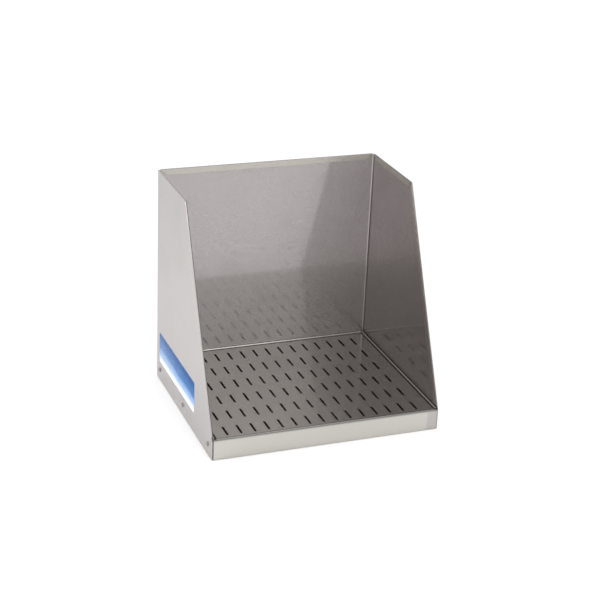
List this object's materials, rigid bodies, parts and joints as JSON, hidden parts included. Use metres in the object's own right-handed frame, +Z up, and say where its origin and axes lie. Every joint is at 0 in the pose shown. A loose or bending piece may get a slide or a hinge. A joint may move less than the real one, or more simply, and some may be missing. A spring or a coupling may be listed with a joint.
{
  "type": "countertop splash guard station",
  "caption": "Stainless steel countertop drip station: slotted lift-out grate over a low tray, with a bent sheet splash guard on three sides.",
  "frame": {"origin": "on the counter, under the middle of the station", "axes": "+Z up, front faces -Y, +X to the right seen from the front"},
  "size_m": [0.4062, 0.33, 0.387],
  "materials": {
    "guard_steel": "cold rolled stainless sheet, satin, semi-mirror",
    "tray_steel": "cold rolled stainless sheet, satin",
    "grate_steel": "cold rolled stainless sheet, satin",
    "screw_steel": "stainless fasteners, bright",
    "spacer_nylon": "natural nylon",
    "seal_rubber": "matt black",
    "foot_rubber": "matt dark grey",
    "label_film": "printed film, blue to white fade"
  },
  "bodies": {
    "station": {"cap_nuts_left": "screw_steel", "cap_nuts_right": "screw_steel", "foot_front_left": "foot_rubber", "foot_front_right": "foot_rubber", "foot_rear_left": "foot_rubber", "foot_rear_right": "foot_rubber", "guard_screws_left": "screw_steel", "guard_screws_right": "screw_steel", "sealing_washers_left": "seal_rubber", "sealing_washers_right": "seal_rubber", "side_label": "label_film", "spacers_left": "spacer_nylon", "spacers_right": "spacer_nylon", "splash_guard": "guard_steel", "sump_tray": "tray_steel"},
    "grate": {"grate": "grate_steel", "stiffener_front": "grate_steel", "stiffener_rear": "grate_steel"}
  },
  "joints": [
    {"name": "grate_lift", "type": "slide", "parent": "station", "child": "grate", "axis": [0, 0, 1], "range_m": [0, 0.39]}
  ]
}
